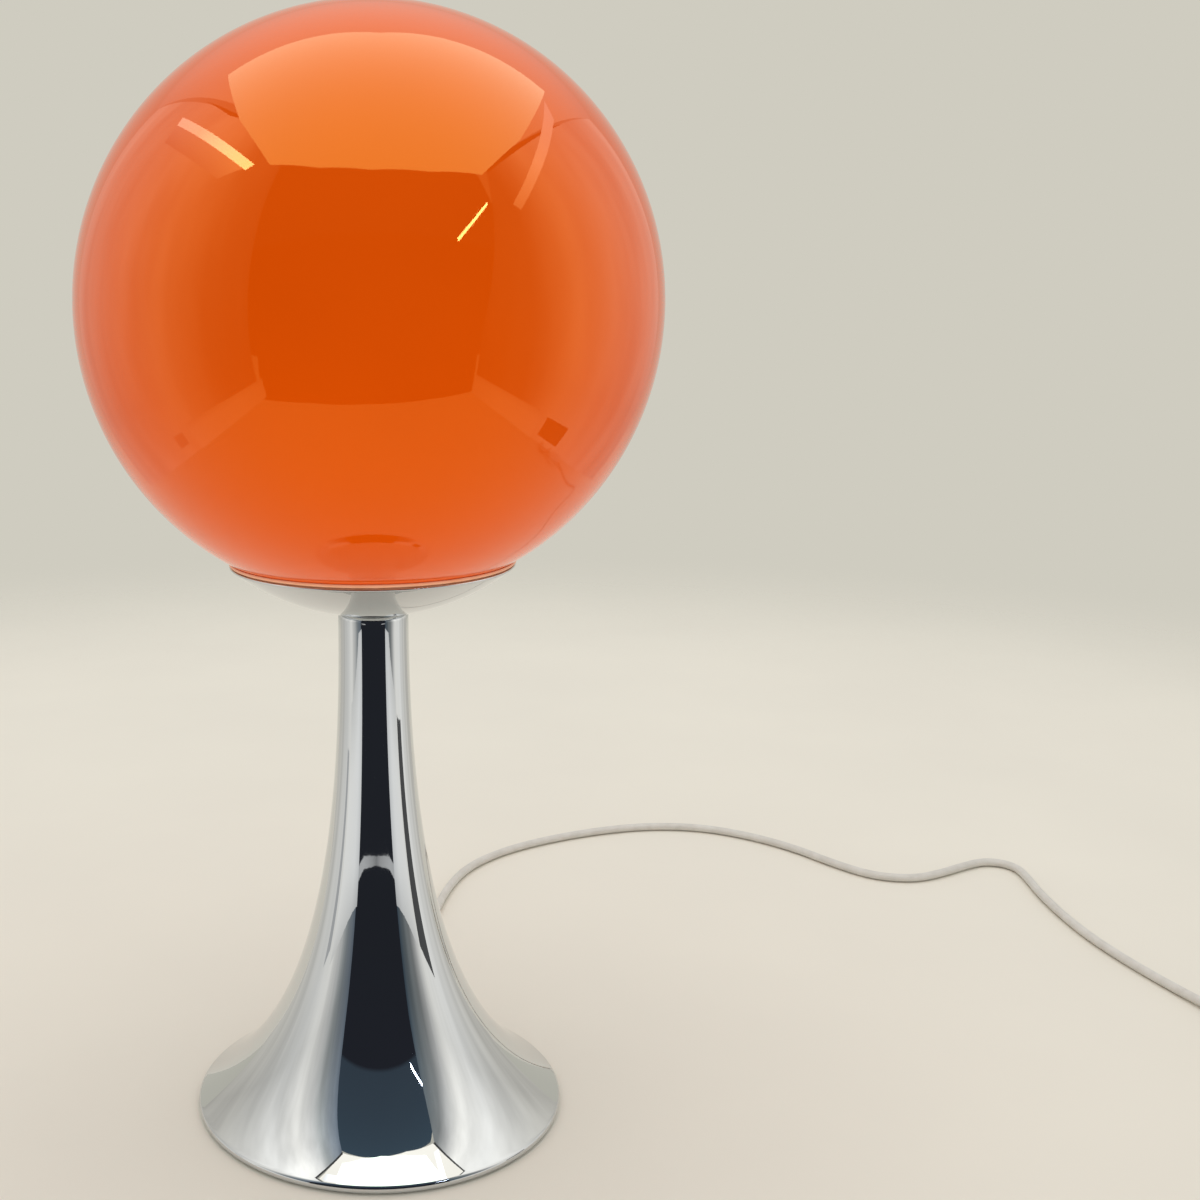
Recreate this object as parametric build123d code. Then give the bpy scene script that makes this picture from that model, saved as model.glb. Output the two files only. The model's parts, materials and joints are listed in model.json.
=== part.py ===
from build123d import *

import os
from math import acos, asin, cos, pi, radians, sin, sqrt, tan

# A table lamp: an opal glass globe that sits in a shallow chromed dish, on a chromed trumpet foot.
# Millimetres. The lamp's axis is Z, the table is at Z = 0 and the cord leaves towards +Y.

# Glass globe
globe_radius = 125.0
globe_wall = 3.0
mouth_radius = 50.0

# Trumpet foot, one spun sheet with a rolled bead round its edge
stem_height = 235.6
stem_radius = 15.75
shoulder_radius = 3.0
base_radius = 85.5
shell_wall = 1.2
foot_angle = 32.8
horn_stem_reach = 162.2
horn_foot_reach = 39.8
hem_radius = 2.2
hem_lift = 0.3

# Dish
dish_curve_radius = 101.3
dish_seat_radius = 15.0
dish_rim_radius = 63.6
dish_wall = 0.9

# Soft ring between the dish's rim and the glass
gasket_thickness = 1.5
gasket_stand = 1.1
gasket_height = 5.0

# Weight, cover and felt in the foot
felt_thickness = 1.2
felt_margin = 1.0
cover_edge_gap = 0.8
cover_thickness = 2.0
ballast_margin = 5.0
hub_radius = 20.0
hub_foot_radius = 34.0
hub_cavity_radius = 17.5
hub_web = 6.0
cover_screw_count = 3
cover_screw_circle_radius = 50.0
cover_screw_radius = 2.0
cover_screw_head_radius = 3.6
cover_screw_length = 12.0
cover_screw_start_angle = 30.0

# Threaded tube with its nuts and washers
tube_radius = 5.0
tube_bore_radius = 3.9
nut_across_flats = 14.0
nut_thickness = 4.0
washer_radius = 10.5
washer_thickness = 1.5

# Lamp holder
cap_foot_radius = 13.0
cap_radius = 20.0
cap_floor = 8.0
cap_wall = 3.0
terminal_room = 8.0
insert_ledge = 2.0
insert_seat_height = 4.0
insert_thickness = 12.0
skirt_lip = 3.0
thread_shell_radius = 14.3
thread_shell_wall = 0.5
thread_shell_length = 24.0
contact_radius = 4.0
contact_height = 2.6
contact_plate = 1.0
terminal_screw_radius = 1.7
terminal_head_radius = 3.0
terminal_head_height = 2.2
terminal_screw_depth = 8.0
terminal_spread = 9.0
core_radius = 0.9
core_spread = 1.3
core_bend_radius = 1.5

# Light bulb
bulb_length = 107.0
bulb_radius = 30.0
bulb_glass_wall = 0.8
bulb_neck_radius = 12.5
bulb_neck_depth = 9.0
bulb_neck_reach = 24.0
bulb_belly_reach = 22.0
bulb_cap_radius = 13.25
bulb_cap_wall = 0.5
bulb_cap_length = 20.0
bulb_tip_radius = 4.5
bulb_tip_height = 1.2
insulator_height = 4.0
insulator_radius = 10.5

# Mains cord
cord_diameter = 5.0
exit_height = 12.0
exit_turn = 9.0
gland_neck_radius = 4.6
gland_collar_radius = 6.5
gland_collar_reach = 13.0
gland_flange_reach = 15.0
gland_nose_length = 30.0
gland_nose_radius = 3.4
gland_slot_margin = 1.0
flex_bend_radius = 14.0

# Switch on the cord
switch_place = (440.0, -10.0)
switch_length = 62.0
switch_width = 27.0
switch_height = 17.0
switch_corner = 6.0
switch_edge = 2.0
switch_wall = 2.0
switch_split = 7.5
switch_entry_depth = 1.5
switch_post_radius = 3.2
switch_screw_radius = 1.2
switch_screw_head_radius = 2.3
switch_screw_head_height = 1.6
switch_screw_length = 11.0
switch_screw_offset = (8.0, 21.0)
rocker_width = 11.0
rocker_length = 19.0
rocker_crown = 4.5
rocker_shoulder = 3.8
rocker_depth = 3.0
rocker_throw = 14.0
pivot_height = 13.5
pin_radius = 1.2
pin_length = 16.8
cheek_thickness = 3.0
cheek_length = 7.0
blade_size = (3.0, 8.0, 5.0)
blade_offset = (4.0, 14.0)

# Put-away coil, its tie and the plug
coil_start = (440.0, -82.0)
coil_middle_diameter = 55.0
coil_turn_gap = 0.6
coil_half_turns_in = 4
coil_rise_above_tie = 0.2
tie_width = 8.0
tie_thickness = 0.8
tie_side_gap = 0.5
plug_width = 35.0
plug_neck_width = 15.0
plug_thickness = 13.7
plug_length = 36.0
plug_front_length = 17.0
plug_edge = 2.5
plug_boot_length = 20.0
plug_boot_radius = 3.6
plug_boot_root_radius = 5.2
plug_pin_radius = 2.0
plug_pin_length = 19.0
plug_pin_spacing = 18.6
plug_pin_embed = 9.0
plug_pin_root_radius = 1.6
plug_pin_groove = 0.3

# Clearances
seat_gap = 0.25
thread_gap = 0.05
hole_gap = 0.2
press_gap = 0.05
running_gap = 0.04
cord_gap = 0.1
rocker_side_gap = 0.4
rocker_end_gap = 0.5
screw_gap = 0.1
tip_gap = 0.3
curve_tolerance = 0.000001

# Corners of the cord's route on the table, after its first run out of the gland
cord_radius = cord_diameter / 2
lead_route = [
    (23.4, 146.5, 7.2),
    (27.0, 167.5, 3.5),
    (31.2, 190.0, cord_radius),
    (36.8, 214.0, cord_radius),
    (43.8, 241.0, cord_radius),
    (54.0, 268.0, cord_radius),
    (69.0, 291.0, cord_radius),
    (91.0, 311.5, cord_radius),
    (119.0, 328.5, cord_radius),
    (153.0, 343.0, cord_radius),
    (190.0, 351.5, cord_radius),
    (226.0, 347.5, cord_radius),
    (256.0, 330.0, cord_radius),
    (281.0, 305.0, cord_radius),
    (299.0, 276.5, cord_radius),
    (318.0, 254.0, cord_radius),
    (342.0, 248.5, cord_radius),
    (362.0, 257.0, cord_radius),
    (380.0, 268.0, cord_radius),
    (396.0, 276.0, cord_radius),
    (407.4, 273.4, cord_radius),
    (414.4, 264.0, cord_radius),
    (413.8, 246.0, cord_radius),
    (411.0, 220.0, cord_radius),
    (410.5, 189.0, cord_radius),
    (412.5, 157.0, cord_radius),
    (418.5, 125.0, cord_radius),
    (426.5, 95.0, cord_radius),
    (434.0, 69.0, 3.2),
    (438.0, 51.0, 5.6),
]

# Levels and radii that follow from the sizes above
hem_centre = (base_radius - hem_radius, hem_lift + hem_radius)
dish_centre_z = stem_height + sqrt(dish_curve_radius**2 - dish_seat_radius**2)
dish_inner_radius = dish_curve_radius - dish_wall
rim_drop = sqrt(dish_curve_radius**2 - dish_rim_radius**2)
rim_z = dish_centre_z - rim_drop
gasket_outer_radius = dish_inner_radius - press_gap
gasket_inner_radius = gasket_outer_radius - gasket_thickness
gasket_top_drop = rim_drop - gasket_stand
seat_radius = sqrt(gasket_inner_radius**2 - gasket_top_drop**2)
globe_centre_z = rim_z + gasket_stand + sqrt((globe_radius + seat_gap) ** 2 - seat_radius**2)
cover_low = felt_thickness
cover_radius = base_radius - 2 * hem_radius - cover_edge_gap
felt_radius = cover_radius - felt_margin
ballast_radius = cover_radius - ballast_margin
ballast_low = cover_low + cover_thickness
slot_half = gland_collar_radius + gland_slot_margin
ballast_top = exit_height + slot_half
straight_end = 3 * cord_diameter
tube_low = exit_height + flex_bend_radius + cord_gap
lower_nut_top = tube_low + nut_thickness + screw_gap
web_low = lower_nut_top + washer_thickness
web_high = web_low + hub_web
dish_floor = stem_height + dish_wall
upper_washer_top = dish_floor + washer_thickness
upper_nut_top = upper_washer_top + nut_thickness
cap_cavity = upper_nut_top + cap_floor
insert_low = cap_cavity + terminal_room
insert_high = insert_low + insert_thickness
cap_high = insert_low + insert_seat_height
insert_radius = cap_radius - cap_wall
skirt_high = insert_high + thread_shell_length + skirt_lip
thread_bore = thread_shell_radius - thread_shell_wall
bulb_tip_z = insert_high + contact_height + tip_gap
insulator_low = bulb_tip_z + bulb_tip_height + press_gap
bulb_cap_low = insulator_low + insulator_height
bulb_cap_high = bulb_cap_low + bulb_cap_length
bulb_belly_z = bulb_tip_z + bulb_length - bulb_radius
coil_pitch = cord_diameter + coil_turn_gap
coil_low_z = tie_thickness + coil_rise_above_tie + cord_radius
plug_axis_z = plug_thickness / 2


def pole(radius, low, high):
    """A round bar about the lamp's axis."""
    base_aligned = (Align.CENTER, Align.CENTER, Align.MIN)
    return Pos(0, 0, low) * Cylinder(radius, high - low, align=base_aligned)


def ring(inner, outer, low, high):
    """A round ring about the lamp's axis."""
    return pole(outer, low, high) - pole(inner, low, high)


def spin(*edges):
    """The solid that a closed outline in the XZ plane sweeps about the lamp's axis."""
    return revolve(make_face(edges), Axis.Z)


def rz(radius, height):
    """A point of an outline, by its distance from the axis and its height."""
    return Vector(radius, 0, height)


def arc_about(centre_z, radius, start_angle, end_angle):
    """An arc about a centre on the axis, with its angles measured from straight down."""

    def at(angle):
        return rz(radius * sin(angle), centre_z - radius * cos(angle))

    return ThreePointArc(at(start_angle), at((start_angle + end_angle) / 2), at(end_angle))


def along_exit(part):
    """Turns a piece that was made along +Y to the direction in which the cord leaves."""
    return Rot(0, 0, -exit_turn) * part


def bar_along_y(radius, start, end, height):
    """A round bar along Y at a given height."""
    bar = Cylinder(radius, end - start, align=(Align.CENTER, Align.CENTER, Align.MIN))
    return Pos(0, start, height) * Rot(-90, 0, 0) * bar


def horn_poles(inset):
    """Control points of the trumpet's curve, set in from its outer face and ended on the bead."""
    slope = radians(foot_angle)
    normal = rz(sin(slope), cos(slope))
    along = rz(cos(slope), -sin(slope))
    depth = hem_radius - inset
    back = sqrt(max(hem_radius**2 - depth**2, 0))
    foot = rz(*hem_centre) + normal * depth - along * back
    top = rz(stem_radius - inset, stem_height - shoulder_radius)
    below_top = top - rz(0, horn_stem_reach)
    before_foot = foot - along * (horn_foot_reach - back)
    return [top, below_top, before_foot, foot]


def horn_radius(height):
    """Outer radius of the trumpet at a height, found by halving along its curve."""
    curve = Bezier(*horn_poles(0))
    low, high = 0.0, 1.0
    while high - low > curve_tolerance:
        middle = (low + high) / 2
        if (curve @ middle).Z > height:
            low = middle
        else:
            high = middle
    return (curve @ low).X


def trumpet_fill(inset):
    """Everything inside the trumpet's curve, straight down to the table below its end."""
    poles = horn_poles(inset)
    top, foot = poles[0], poles[-1]
    below_foot = rz(foot.X, 0)
    return spin(
        Bezier(*poles),
        Line(foot, below_foot),
        Line(below_foot, rz(0, 0)),
        Line(rz(0, 0), rz(0, top.Z)),
        Line(rz(0, top.Z), top),
    )


def make_trumpet_base():
    """Spun sheet: flat top with a rounded shoulder, slim stem, wide flare and rolled bead."""
    outer, inner = horn_poles(0), horn_poles(shell_wall)
    turn = stem_radius - shoulder_radius
    bend = rz(turn, stem_height - shoulder_radius)
    half = rz(sin(pi / 4), cos(pi / 4))
    hole = tube_radius + hole_gap
    inner_bend = shoulder_radius - shell_wall
    top_low = stem_height - shell_wall
    bead = rz(*hem_centre)
    bead_low = bead - ((outer[-1] + inner[-1]) / 2 - bead).normalized() * hem_radius
    shell = spin(
        Line(rz(hole, stem_height), rz(turn, stem_height)),
        ThreePointArc(rz(turn, stem_height), bend + half * shoulder_radius, outer[0]),
        Bezier(*outer),
        ThreePointArc(outer[-1], bead_low, inner[-1]),
        Bezier(*inner),
        ThreePointArc(inner[0], bend + half * inner_bend, rz(turn, top_low)),
        Line(rz(turn, top_low), rz(hole, top_low)),
        Line(rz(hole, top_low), rz(hole, stem_height)),
    )
    cord_hole = bar_along_y(gland_neck_radius + hole_gap, 0, base_radius, exit_height)
    return shell - along_exit(cord_hole)


def cover_screw_places():
    """Places of the screws that hold the cover to the weight."""
    return PolarLocations(cover_screw_circle_radius, cover_screw_count, start_angle=cover_screw_start_angle)


def make_ballast_weight():
    """Cast weight that follows the flare inside, with a hub for the tube and a slot for the cord."""
    fill = trumpet_fill(shell_wall + press_gap)
    plate = fill & pole(ballast_radius, ballast_low, ballast_top)
    hub = Pos(0, 0, ballast_top) * Cone(
        hub_foot_radius, hub_radius, web_high - ballast_top, align=(Align.CENTER, Align.CENTER, Align.MIN)
    )
    body = plate + hub - pole(hub_cavity_radius, ballast_low, web_low)
    body -= pole(tube_radius + hole_gap, web_low, web_high)
    slot = Pos(0, 0, ballast_low) * Box(
        2 * slot_half, base_radius, ballast_top - ballast_low, align=(Align.CENTER, Align.MIN, Align.MIN)
    )
    body -= along_exit(slot)
    for place in cover_screw_places():
        body -= place * pole(cover_screw_radius + screw_gap, ballast_low, cover_low + cover_screw_length)
    return body


def make_cover_screw():
    """Countersunk screw, head down."""
    head = Pos(0, 0, cover_low) * Cone(
        cover_screw_head_radius,
        cover_screw_radius,
        cover_thickness,
        align=(Align.CENTER, Align.CENTER, Align.MIN),
    )
    return head + pole(cover_screw_radius, cover_low, cover_low + cover_screw_length)


def make_base_cover():
    """Round steel plate that closes the foot."""
    plate = pole(cover_radius, cover_low, ballast_low)
    for place in cover_screw_places():
        seat = Pos(0, 0, cover_low) * Cone(
            cover_screw_head_radius + screw_gap,
            cover_screw_radius + screw_gap,
            cover_thickness,
            align=(Align.CENTER, Align.CENTER, Align.MIN),
        )
        plate -= place * seat
    return plate


def make_nut(low):
    """Thin hexagon nut on the threaded tube."""
    flat = RegularPolygon(nut_across_flats / 2, 6, major_radius=False)
    block = Pos(0, 0, low) * extrude(flat, nut_thickness)
    return block - pole(tube_radius + thread_gap, low, low + nut_thickness)


def make_globe_dish():
    """Shallow spun bowl with a flat seat on top of the stem."""
    hole = tube_radius + hole_gap
    seat_angle = asin(dish_seat_radius / dish_curve_radius)
    rim_angle = asin(dish_rim_radius / dish_curve_radius)
    inner_seat_angle = acos((dish_centre_z - dish_floor) / dish_inner_radius)
    inner_rim_angle = acos(rim_drop / dish_inner_radius)
    outer = arc_about(dish_centre_z, dish_curve_radius, seat_angle, rim_angle)
    inner = arc_about(dish_centre_z, dish_inner_radius, inner_rim_angle, inner_seat_angle)
    return spin(
        Line(rz(hole, stem_height), outer @ 0),
        outer,
        Line(outer @ 1, inner @ 0),
        inner,
        Line(inner @ 1, rz(hole, dish_floor)),
        Line(rz(hole, dish_floor), rz(hole, stem_height)),
    )


def make_rim_gasket():
    """Soft ring inside the dish's rim, standing a little above it, on which the glass sits."""
    low_drop = rim_drop + gasket_height
    outer = arc_about(
        dish_centre_z,
        gasket_outer_radius,
        acos(low_drop / gasket_outer_radius),
        acos(gasket_top_drop / gasket_outer_radius),
    )
    inner = arc_about(
        dish_centre_z,
        gasket_inner_radius,
        acos(gasket_top_drop / gasket_inner_radius),
        acos(low_drop / gasket_inner_radius),
    )
    return spin(outer, Line(outer @ 1, inner @ 0), inner, Line(inner @ 1, outer @ 0))


def make_glass_globe():
    """Hollow globe with a rounded lip round its mouth underneath."""
    mouth_angle = asin(mouth_radius / globe_radius)
    inner_radius = globe_radius - globe_wall
    middle_radius = globe_radius - globe_wall / 2
    lip_angle = mouth_angle - globe_wall / 2 / middle_radius
    outer = arc_about(globe_centre_z, globe_radius, mouth_angle, pi)
    inner = arc_about(globe_centre_z, inner_radius, pi, mouth_angle)
    lip_tip = rz(middle_radius * sin(lip_angle), globe_centre_z - middle_radius * cos(lip_angle))
    return spin(
        outer,
        Line(outer @ 1, inner @ 0),
        inner,
        ThreePointArc(inner @ 1, lip_tip, outer @ 0),
    )


def make_holder_cap():
    """Lower cup of the lamp holder, screwed on the tube."""
    cup = spin(
        Line(rz(tube_radius + thread_gap, upper_nut_top), rz(cap_foot_radius, upper_nut_top)),
        Line(rz(cap_foot_radius, upper_nut_top), rz(cap_radius, insert_low)),
        Line(rz(cap_radius, insert_low), rz(cap_radius, cap_high)),
        Line(rz(cap_radius, cap_high), rz(tube_radius + thread_gap, cap_high)),
        Line(rz(tube_radius + thread_gap, cap_high), rz(tube_radius + thread_gap, upper_nut_top)),
    )
    screw_room = insert_low - terminal_head_height - hole_gap
    cup -= pole(insert_radius - insert_ledge, screw_room, cap_high)
    cup -= pole(insert_radius, insert_low, cap_high)
    return cup - pole(cap_foot_radius - cap_wall, cap_cavity, cap_high)


def make_holder_skirt():
    """Upper sleeve of the lamp holder, with a lip over the threaded shell."""
    sleeve = ring(insert_radius + hole_gap, cap_radius, cap_high, skirt_high)
    lip = ring(thread_shell_radius + hole_gap, cap_radius, skirt_high - skirt_lip, skirt_high)
    return sleeve + lip


def make_holder_insert():
    """Porcelain disc that carries the contacts and the terminal screws."""
    disc = pole(insert_radius - hole_gap, insert_low, insert_high)
    for side in (-1, 1):
        place = Pos(side * terminal_spread, 0, 0)
        disc -= place * pole(terminal_screw_radius + screw_gap, insert_low, insert_low + terminal_screw_depth)
    return disc


def make_terminal_screws():
    """Two terminal screws, heads down in the wiring room."""
    shank = pole(terminal_screw_radius, insert_low - terminal_head_height, insert_low + terminal_screw_depth)
    screw = shank + pole(terminal_head_radius, insert_low - terminal_head_height, insert_low)
    return Compound(children=[Pos(side * terminal_spread, 0, 0) * screw for side in (-1, 1)])


def make_centre_contact():
    """Springy contact under the bulb."""
    plate = pole(2 * contact_radius, insert_high, insert_high + contact_plate)
    return plate + pole(contact_radius, insert_high, insert_high + contact_height)


def make_thread_shell():
    """Threaded brass sleeve that takes the bulb, with a foot flange on the porcelain."""
    sleeve = ring(thread_bore, thread_shell_radius, insert_high, insert_high + thread_shell_length)
    return sleeve + ring(thread_bore - contact_plate, thread_shell_radius, insert_high, insert_high + contact_plate)


def make_core_wires():
    """The two insulated cores, spread from the flex's end to the heads of the terminal screws."""
    beside_head = terminal_spread - terminal_head_radius - core_radius - press_gap
    low = cap_cavity + press_gap
    third = (insert_low - low) / 3
    path = FilletPolyline(
        rz(core_spread, low),
        rz(core_spread, low + third),
        rz(beside_head, insert_low - third),
        rz(beside_head, insert_low),
        radius=core_bend_radius,
    )
    core = sweep(Plane(path @ 0, z_dir=path % 0) * Circle(core_radius), path)
    return Compound(children=[core, Rot(0, 0, 180) * core])


def bulb_outline(inset):
    """Edges of the bulb's glass from its neck end to its crown, set in by a wall."""
    neck = bulb_neck_radius - inset
    belly = bulb_radius - inset
    neck_low = bulb_cap_high - bulb_neck_depth + inset
    neck_high = bulb_cap_high
    crown = bulb_belly_z + belly
    return [
        Line(rz(0, neck_low), rz(neck, neck_low)),
        Line(rz(neck, neck_low), rz(neck, neck_high)),
        Bezier(
            rz(neck, neck_high),
            rz(neck, neck_high + bulb_neck_reach),
            rz(belly, bulb_belly_z - bulb_belly_reach),
            rz(belly, bulb_belly_z),
        ),
        ThreePointArc(
            rz(belly, bulb_belly_z),
            rz(belly * sin(pi / 4), bulb_belly_z + belly * cos(pi / 4)),
            rz(0, crown),
        ),
        Line(rz(0, crown), rz(0, neck_low)),
    ]


def make_bulb_glass():
    """Hollow pear-shaped bulb."""
    return spin(*bulb_outline(0)) - spin(*bulb_outline(bulb_glass_wall))


def make_bulb_cap():
    """Thin metal cap of the bulb, with a turned-in foot."""
    sleeve = ring(bulb_cap_radius - bulb_cap_wall, bulb_cap_radius, bulb_cap_low, bulb_cap_high)
    foot = ring(insulator_radius - bulb_cap_wall, bulb_cap_radius, bulb_cap_low, bulb_cap_low + bulb_cap_wall)
    return sleeve + foot


def make_bulb_insulator():
    """Dark glass cone between the cap and the contact tip."""
    return Pos(0, 0, insulator_low) * Cone(
        bulb_tip_radius, insulator_radius, insulator_height, align=(Align.CENTER, Align.CENTER, Align.MIN)
    )


def gland_tip():
    """Distance from the axis to the end of the gland's nose."""
    return horn_radius(exit_height) + gland_collar_reach + gland_nose_length


def make_cord_gland():
    """Rubber strain relief: a flange inside the foot, a neck in its hole and a tapered nose outside."""
    reach = horn_radius(exit_height) + gland_collar_reach
    inside = horn_radius(exit_height) - gland_flange_reach
    neck = bar_along_y(gland_neck_radius, inside, reach, exit_height)
    collar = bar_along_y(gland_collar_radius, inside, reach, exit_height)
    flange = collar & trumpet_fill(shell_wall + press_gap)
    collar -= trumpet_fill(-press_gap)
    nose = Cone(
        gland_collar_radius,
        gland_nose_radius,
        gland_nose_length,
        align=(Align.CENTER, Align.CENTER, Align.MIN),
    )
    nose = Pos(0, reach, exit_height) * Rot(-90, 0, 0) * nose
    bore = bar_along_y(cord_radius + cord_gap, 0, gland_tip(), exit_height)
    return along_exit(neck + flange + collar + nose - bore)


def cord_section(path):
    """Round section of the cord, square to the start of its path."""
    return Plane(path @ 0, z_dir=path % 0) * Circle(cord_radius)


def make_inner_flex():
    """The cord inside the lamp: through the gland, under the weight's hub and up the tube."""
    tip = Vector(0, gland_tip(), exit_height)
    corner = Vector(0, 0, exit_height)
    end = Vector(0, 0, cap_cavity)
    path = FilletPolyline(tip, corner, end, radius=flex_bend_radius)
    return along_exit(sweep(cord_section(path), path))


def corner_radii(points):
    """For each corner, the largest arc that both its runs leave room for."""
    radii = []
    for before, corner, after in zip(points, points[1:], points[2:]):
        first, second = corner - before, after - corner
        half_turn = radians(first.get_angle(second)) / 2
        radii.append(0.45 * min(first.length, second.length) / tan(half_turn))
    return radii


def make_free_cord(name, points):
    """A tube along straight runs joined by arcs, with its bends and its volume printed."""
    points = [Vector(*point) for point in points]
    radii = corner_radii(points)
    path = FilletPolyline(*points, radius=radii)
    tube = sweep(cord_section(path), path)
    expected = pi * cord_radius**2 * path.length
    print(f"{name}: length {path.length:.0f} mm, tightest radius {min(radii):.1f} mm")
    print(f"{name}: radii {[round(radius) for radius in radii]}")
    print(f"{name}: volume {tube.volume:.0f}, section times length {expected:.0f}")
    return tube


def lead_points():
    """Route of the cord from the gland's nose to the switch."""
    outward = Vector(sin(radians(exit_turn)), cos(radians(exit_turn)), 0)
    first = outward * gland_tip() + Vector(0, 0, exit_height)
    second = outward * (gland_tip() + straight_end) + Vector(0, 0, exit_height)
    x, y = switch_place
    entry = y + switch_length / 2 - switch_entry_depth
    return [first, second, *lead_route, (x, entry + straight_end, switch_split), (x, entry, switch_split)]


def link_points():
    """Route of the cord from the switch to the coil, down to the table."""
    x, y = switch_place
    leave = y - switch_length / 2 + switch_entry_depth
    arrive = coil_start[1] + cord_diameter
    third = (arrive - leave) / 3
    return [
        (x, leave, switch_split),
        (x, leave + third, switch_split),
        (coil_start[0], arrive - third, coil_low_z),
        (coil_start[0], arrive, coil_low_z),
    ]


def coil_radii():
    """Radius of each half turn: in on the lower layer, one climbing half turn, out on the upper layer."""
    outer = coil_middle_diameter / 2 + coil_half_turns_in * coil_pitch / 4
    inward = [outer - step * coil_pitch / 2 for step in range(coil_half_turns_in)]
    climbing = outer - coil_half_turns_in * coil_pitch / 2
    return inward + [climbing] + inward[::-1]


def coil_half_turns():
    """Start, end and direction of each half turn, one after the other."""
    point = Vector(*coil_start, coil_low_z)
    heading = Vector(0, -1, 0)
    side = Vector(1, 0, 0)
    turns = []
    for step, radius in enumerate(coil_radii()):
        climb = coil_pitch if step == coil_half_turns_in else 0
        end = point + side * (2 * radius) + Vector(0, 0, climb)
        turns.append((point, end, heading))
        point, heading, side = end, -heading, -side
    return turns


def coil_path():
    """The coil's line as quarter arcs, with a straight end of one diameter at each side."""
    turns = coil_half_turns()
    first, last = turns[0], turns[-1]
    half = sin(pi / 4)
    edges = [Line(first[0] - first[2] * cord_diameter, first[0])]
    for start, end, heading in turns:
        middle = (start + end) / 2
        spoke = (end - start) / 2
        reach = heading * spoke.length
        edges.append(ThreePointArc(start, middle + (reach - spoke) * half, middle + reach))
        edges.append(ThreePointArc(middle + reach, middle + (reach + spoke) * half, end))
    edges.append(Line(last[1], last[1] - last[2] * cord_diameter))
    return Wire(edges)


def least_coil_gap(path):
    """Least clear distance between two stretches of the coil, measured on points along it."""
    count = int(path.length / (cord_diameter / 5))
    points = [path @ (index / count) for index in range(count + 1)]
    apart = int(3 * cord_diameter / (path.length / count))
    least = min(
        (points[first] - points[second]).length
        for first in range(len(points))
        for second in range(first + apart, len(points))
    )
    return least - cord_diameter


def make_cord_coil():
    """The spare length of the cord, wound in two layers."""
    path = coil_path()
    coil = sweep(cord_section(path), path)
    expected = pi * cord_radius**2 * path.length
    print(f"cord_coil: length {path.length:.0f} mm, least gap {least_coil_gap(path):.2f} mm")
    print(f"cord_coil: volume {coil.volume:.0f}, section times length {expected:.0f}")
    return coil


def coil_end():
    """Where the coil's upper layer ends, and the height there."""
    return coil_path() @ 1


def tail_points():
    """Route of the cord from the coil down to the plug."""
    start = coil_end()
    drop = start.Z - plug_axis_z
    return [
        start,
        start + Vector(0, straight_end, 0),
        start + Vector(0, 2 * straight_end, -drop),
        start + Vector(0, 3 * straight_end, -drop),
    ]


def make_coil_tie():
    """Flat band round the coil's turns, on the side away from the switch."""
    tied = [(start, end) for start, end, heading in coil_half_turns() if heading.Y < 0]
    middles = [(start.X + end.X) / 2 for start, end in tied]
    radii = [(end - start).length / 2 for start, end in tied]
    middle_x = (min(middles) + max(middles)) / 2
    lean = tie_width / 2 + max(middles) - middle_x
    far = max(radii) + cord_radius + tie_side_gap
    near = sqrt((min(radii) - cord_radius) ** 2 - lean**2) - tie_side_gap
    room_high = coil_low_z + coil_pitch + cord_radius + coil_rise_above_tie
    low_aligned = (Align.CENTER, Align.CENTER, Align.MIN)
    place = Pos(middle_x, coil_start[1] - (far + near) / 2, 0)
    band = Box(tie_width, far - near + 2 * tie_thickness, room_high + tie_thickness, align=low_aligned)
    room = Pos(0, 0, tie_thickness) * Box(
        tie_width, far - near, room_high - tie_thickness, align=low_aligned
    )
    return place * (band - room)


def switch_block(inset, low, high):
    """A slice of the switch's rounded block, set in from its outer face."""
    outline = RectangleRounded(
        switch_width - 2 * inset, switch_length - 2 * inset, switch_corner - inset
    )
    return Pos(0, 0, low) * extrude(outline, high - low)


def switch_screw_places():
    """Places of the two screws, at opposite corners of the switch."""
    x, y = switch_screw_offset
    return [Pos(x, y, 0), Pos(-x, -y, 0)]


def switch_cord_hole():
    """Room for the cord through both ends of the switch."""
    return bar_along_y(cord_radius + cord_gap, -switch_length / 2, switch_length / 2, switch_split)


def make_switch_base():
    """Lower half of the switch, a tray with two screw posts."""
    tray = switch_block(0, 0, switch_split) - switch_block(switch_wall, switch_wall, switch_split)
    tray -= switch_cord_hole()
    for place in switch_screw_places():
        tray += place * pole(switch_post_radius, 0, switch_split)
        tray -= place * pole(switch_screw_radius + screw_gap, 0, switch_split)
        tray -= place * pole(switch_screw_head_radius + screw_gap, 0, switch_screw_head_height)
    return tray


def rocker_window():
    """Half width and half length of the opening over the rocker."""
    tilt = radians(rocker_throw / 2)
    reach = rocker_length / 2 * cos(tilt) + rocker_shoulder * sin(tilt)
    return rocker_width / 2 + rocker_side_gap, reach + rocker_end_gap


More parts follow.
